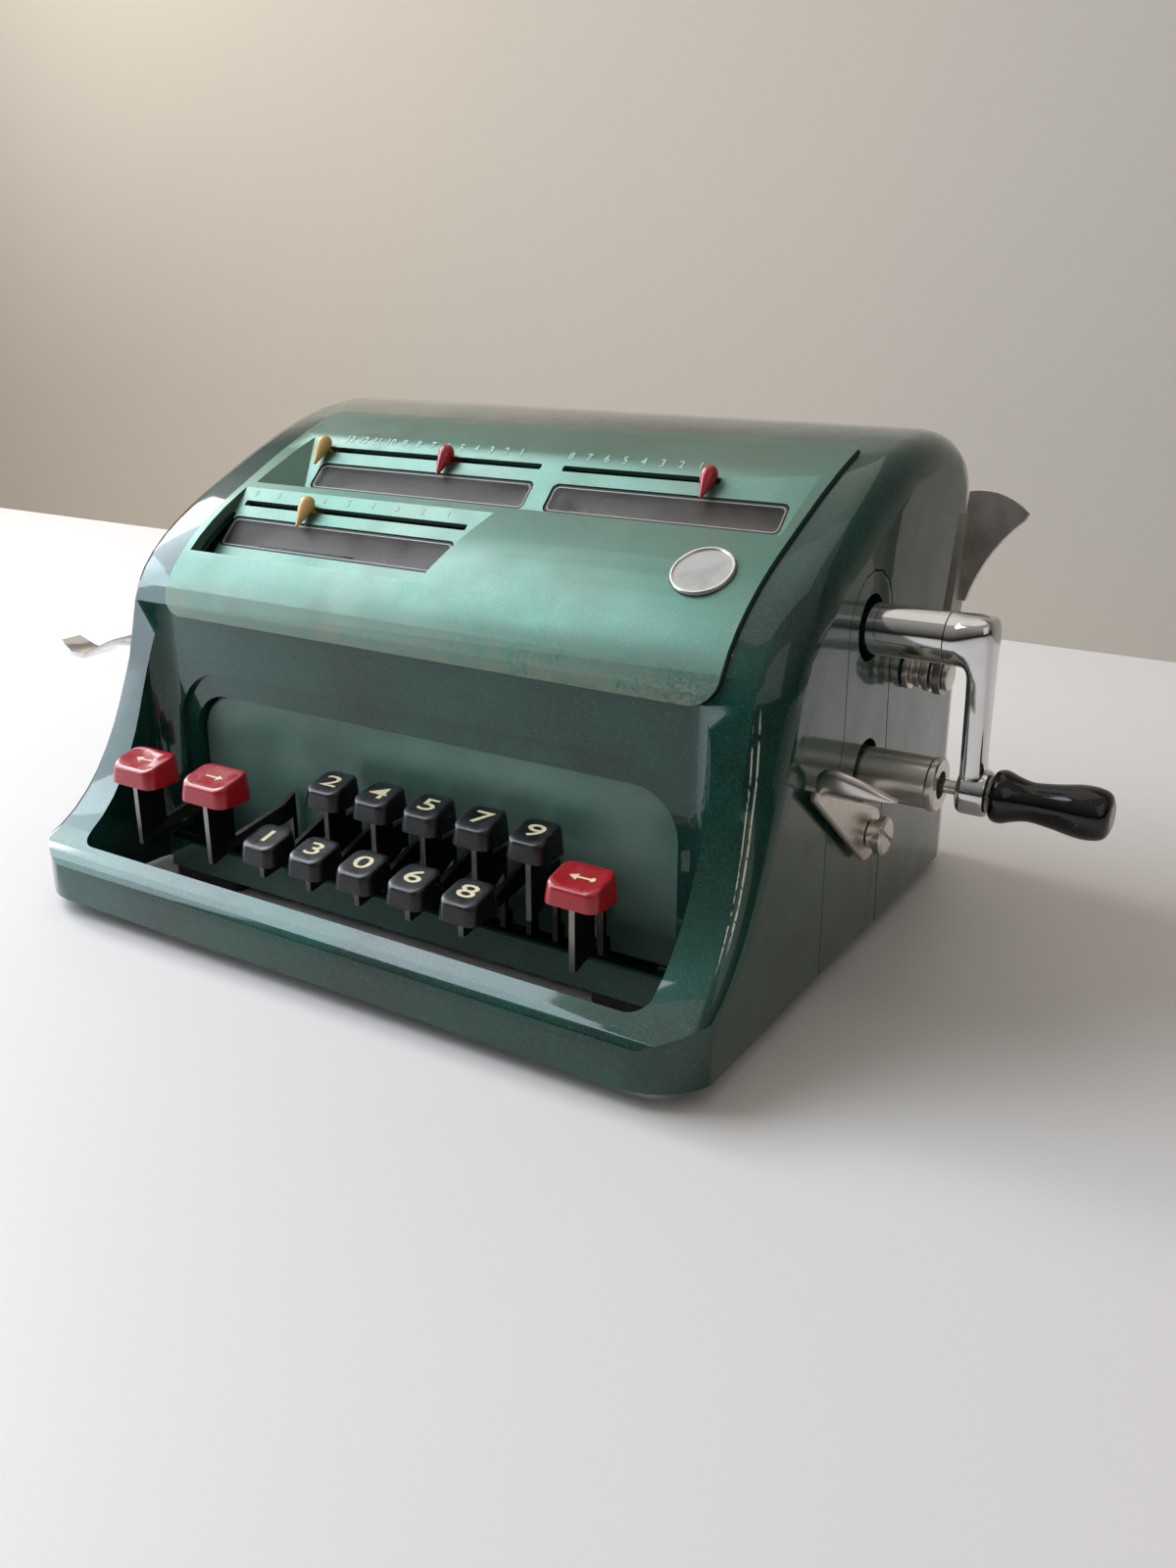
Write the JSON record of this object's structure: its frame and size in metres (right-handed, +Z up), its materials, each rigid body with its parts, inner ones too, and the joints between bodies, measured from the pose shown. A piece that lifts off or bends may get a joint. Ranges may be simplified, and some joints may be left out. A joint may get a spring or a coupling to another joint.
{
  "type": "pinwheel calculator",
  "caption": "Hand-cranked desktop pinwheel calculator: sloped enamelled casing, pressable key levers, glazed dial windows, a side crank and clearing levers",
  "frame": {"origin": "middle of the footprint of the whole machine, crank and levers included, on the table", "axes": "+X to the operator's right, towards the crank; +Y away from the operator; +Z up"},
  "size_m": [0.34, 0.201, 0.1489],
  "materials": {
    "casing_enamel": "dark green gloss enamel with chips and worn edges",
    "cover_enamel": "light green metallic enamel, satin",
    "panel_enamel": "light green satin enamel",
    "foot_rubber": "matt black rubber",
    "window_glass": "slightly dusty clear pane",
    "dial_enamel": "matt grey-pink paint",
    "cream_plastic": "moulded cream plastic",
    "red_plastic": "moulded red plastic",
    "black_plastic": "polished black plastic",
    "dark_steel": "blackened steel",
    "worn_steel": "worn nickelled steel",
    "bright_chrome": "polished chrome plate",
    "rotor_brass": "turned brass"
  },
  "bodies": {
    "machine": {"casing": "casing_enamel", "side_strip": "casing_enamel", "top_cover": "cover_enamel", "key_panel": "panel_enamel", "base_pan": "casing_enamel", "foot_front_left": "foot_rubber", "foot_front_right": "foot_rubber", "foot_rear_left": "foot_rubber", "foot_rear_right": "foot_rubber", "product_window_pane": "window_glass", "counter_window_pane": "window_glass", "setting_window_pane": "window_glass", "dial_plate": "dial_enamel", "badge_disc": "worn_steel", "key_pivot_shaft": "worn_steel", "stop_post": "worn_steel", "clearing_lever_pivot": "worn_steel", "counter_lever_screw": "worn_steel", "frame": "worn_steel"},
    "key_0": {"keycap_0": "black_plastic", "key_lever_0": "dark_steel"},
    "key_1": {"keycap_1": "black_plastic", "key_lever_1": "dark_steel"},
    "key_2": {"keycap_2": "black_plastic", "key_lever_2": "dark_steel"},
    "key_3": {"keycap_3": "black_plastic", "key_lever_3": "dark_steel"},
    "key_4": {"keycap_4": "black_plastic", "key_lever_4": "dark_steel"},
    "key_5": {"keycap_5": "black_plastic", "key_lever_5": "dark_steel"},
    "key_6": {"keycap_6": "black_plastic", "key_lever_6": "dark_steel"},
    "key_7": {"keycap_7": "black_plastic", "key_lever_7": "dark_steel"},
    "key_8": {"keycap_8": "black_plastic", "key_lever_8": "dark_steel"},
    "key_9": {"keycap_9": "black_plastic", "key_lever_9": "dark_steel"},
    "key_shift_left": {"keycap_shift_left": "red_plastic", "key_lever_shift_left": "dark_steel"},
    "key_shift_right": {"keycap_shift_right": "red_plastic", "key_lever_shift_right": "dark_steel"},
    "key_clear": {"keycap_clear": "red_plastic", "key_lever_clear": "dark_steel"},
    "crank": {"crank_shaft": "bright_chrome", "crank_arm": "bright_chrome"},
    "handle": {"handle_spindle": "worn_steel"},
    "grip": {"crank_grip": "black_plastic"},
    "pinwheel_rotor": {"rotor": "rotor_brass"},
    "product_row": {"product_wheels": "dark_steel"},
    "counter_row": {"counter_wheels": "dark_steel"},
    "setting_row": {"setting_wheels": "dark_steel"},
    "pointer_product_left": {"product_pointer_left": "cream_plastic"},
    "pointer_product_right": {"product_pointer_right": "red_plastic"},
    "pointer_counter": {"counter_pointer": "red_plastic"},
    "pointer_setting": {"setting_pointer": "cream_plastic"},
    "large_lever": {"clearing_lever": "bright_chrome"},
    "small_lever": {"counter_lever": "worn_steel"},
    "blade_lever": {"left_lever": "bright_chrome"}
  },
  "joints": [
    {"name": "key_0_press", "type": "hinge", "parent": "machine", "child": "key_0", "pos_m": [-0.0145, -0.0055, 0.0145], "axis": [1, 0, 0], "range_deg": [0, 3.3], "stiffness_Nm_per_rad": 0.2, "springref_deg": -11.46},
    {"name": "key_1_press", "type": "hinge", "parent": "machine", "child": "key_1", "pos_m": [-0.0517, -0.0055, 0.0145], "axis": [1, 0, 0], "range_deg": [0, 3.3], "stiffness_Nm_per_rad": 0.2, "springref_deg": -11.46},
    {"name": "key_2_press", "type": "hinge", "parent": "machine", "child": "key_2", "pos_m": [-0.0424, -0.0055, 0.0145], "axis": [1, 0, 0], "range_deg": [0, 4], "stiffness_Nm_per_rad": 0.2, "springref_deg": -11.46},
    {"name": "key_3_press", "type": "hinge", "parent": "machine", "child": "key_3", "pos_m": [-0.0331, -0.0055, 0.0145], "axis": [1, 0, 0], "range_deg": [0, 3.3], "stiffness_Nm_per_rad": 0.2, "springref_deg": -11.46},
    {"name": "key_4_press", "type": "hinge", "parent": "machine", "child": "key_4", "pos_m": [-0.0238, -0.0055, 0.0145], "axis": [1, 0, 0], "range_deg": [0, 4], "stiffness_Nm_per_rad": 0.2, "springref_deg": -11.46},
    {"name": "key_5_press", "type": "hinge", "parent": "machine", "child": "key_5", "pos_m": [-0.0052, -0.0055, 0.0145], "axis": [1, 0, 0], "range_deg": [0, 4], "stiffness_Nm_per_rad": 0.2, "springref_deg": -11.46},
    {"name": "key_6_press", "type": "hinge", "parent": "machine", "child": "key_6", "pos_m": [0.0041, -0.0055, 0.0145], "axis": [1, 0, 0], "range_deg": [0, 3.3], "stiffness_Nm_per_rad": 0.2, "springref_deg": -11.46},
    {"name": "key_7_press", "type": "hinge", "parent": "machine", "child": "key_7", "pos_m": [0.0134, -0.0055, 0.0145], "axis": [1, 0, 0], "range_deg": [0, 4], "stiffness_Nm_per_rad": 0.2, "springref_deg": -11.46},
    {"name": "key_8_press", "type": "hinge", "parent": "machine", "child": "key_8", "pos_m": [0.0227, -0.0055, 0.0145], "axis": [1, 0, 0], "range_deg": [0, 3.3], "stiffness_Nm_per_rad": 0.2, "springref_deg": -11.46},
    {"name": "key_9_press", "type": "hinge", "parent": "machine", "child": "key_9", "pos_m": [0.032, -0.0055, 0.0145], "axis": [1, 0, 0], "range_deg": [0, 4], "stiffness_Nm_per_rad": 0.2, "springref_deg": -11.46},
    {"name": "shift_left_press", "type": "hinge", "parent": "machine", "child": "key_shift_left", "pos_m": [-0.1017, -0.0055, 0.0145], "axis": [1, 0, 0], "range_deg": [0, 3.3], "stiffness_Nm_per_rad": 0.2, "springref_deg": -11.46},
    {"name": "shift_right_press", "type": "hinge", "parent": "machine", "child": "key_shift_right", "pos_m": [-0.0703, -0.0055, 0.0145], "axis": [1, 0, 0], "range_deg": [0, 3.3], "stiffness_Nm_per_rad": 0.2, "springref_deg": -11.46},
    {"name": "clear_press", "type": "hinge", "parent": "machine", "child": "key_clear", "pos_m": [0.0475, -0.0055, 0.0145], "axis": [1, 0, 0], "range_deg": [0, 3.3], "stiffness_Nm_per_rad": 0.2, "springref_deg": -11.46},
    {"name": "crank_turn", "type": "hinge", "parent": "machine", "child": "crank", "pos_m": [0.101, 0.0045, 0.1014], "axis": [1, 0, 0], "continuous": true},
    {"name": "handle_pull", "type": "slide", "parent": "crank", "child": "handle", "axis": [1, 0, 0], "range_m": [0, 0.004], "stiffness_N_per_m": 500, "springref_m": -0.004},
    {"name": "grip_spin", "type": "hinge", "parent": "handle", "child": "grip", "pos_m": [0.151, 0.0065, 0.0589], "axis": [1, 0, 0], "continuous": true},
    {"name": "rotor_turn", "type": "hinge", "parent": "machine", "child": "pinwheel_rotor", "pos_m": [0.001, 0.0291, 0.078], "axis": [1, 0, 0], "continuous": true},
    {"name": "product_row_turn", "type": "hinge", "parent": "machine", "child": "product_row", "pos_m": [-0.059, 0.01169, 0.11559], "axis": [1, 0, 0], "continuous": true},
    {"name": "counter_row_turn", "type": "hinge", "parent": "machine", "child": "counter_row", "pos_m": [0.031, 0.01169, 0.11559], "axis": [1, 0, 0], "continuous": true},
    {"name": "setting_row_turn", "type": "hinge", "parent": "machine", "child": "setting_row", "pos_m": [-0.059, -0.0199, 0.10078], "axis": [1, 0, 0], "continuous": true},
    {"name": "product_pointer_left_slide", "type": "slide", "parent": "machine", "child": "pointer_product_left", "axis": [1, 0, 0], "range_m": [-0.0015, 0.044]},
    {"name": "product_pointer_right_slide", "type": "slide", "parent": "machine", "child": "pointer_product_right", "axis": [1, 0, 0], "range_m": [-0.044, 0.034]},
    {"name": "counter_pointer_slide", "type": "slide", "parent": "machine", "child": "pointer_counter", "axis": [1, 0, 0], "range_m": [-0.05, 0.0015]},
    {"name": "setting_pointer_slide", "type": "slide", "parent": "machine", "child": "pointer_setting", "axis": [1, 0, 0], "range_m": [-0.0275, 0.061]},
    {"name": "clearing_lever_pull", "type": "hinge", "parent": "machine", "child": "large_lever", "pos_m": [0.112, 0.0355, 0.0823], "axis": [1, 0, 0], "range_deg": [0, 40], "stiffness_Nm_per_rad": 0.15, "springref_deg": -22.92},
    {"name": "counter_lever_press", "type": "hinge", "parent": "machine", "child": "small_lever", "pos_m": [0.1042, 0.0045, 0.041], "axis": [1, 0, 0], "range_deg": [0, 22], "stiffness_Nm_per_rad": 0.1, "springref_deg": -22.92},
    {"name": "left_lever_press", "type": "hinge", "parent": "machine", "child": "blade_lever", "pos_m": [-0.1277, -0.0165, 0.072], "axis": [1, 0, 0], "range_deg": [0, 14], "stiffness_Nm_per_rad": 0.1, "springref_deg": -22.92}
  ],
  "couplings": [
    {"joint": "rotor_turn", "follows": "crank_turn", "ratio": -1}
  ]
}
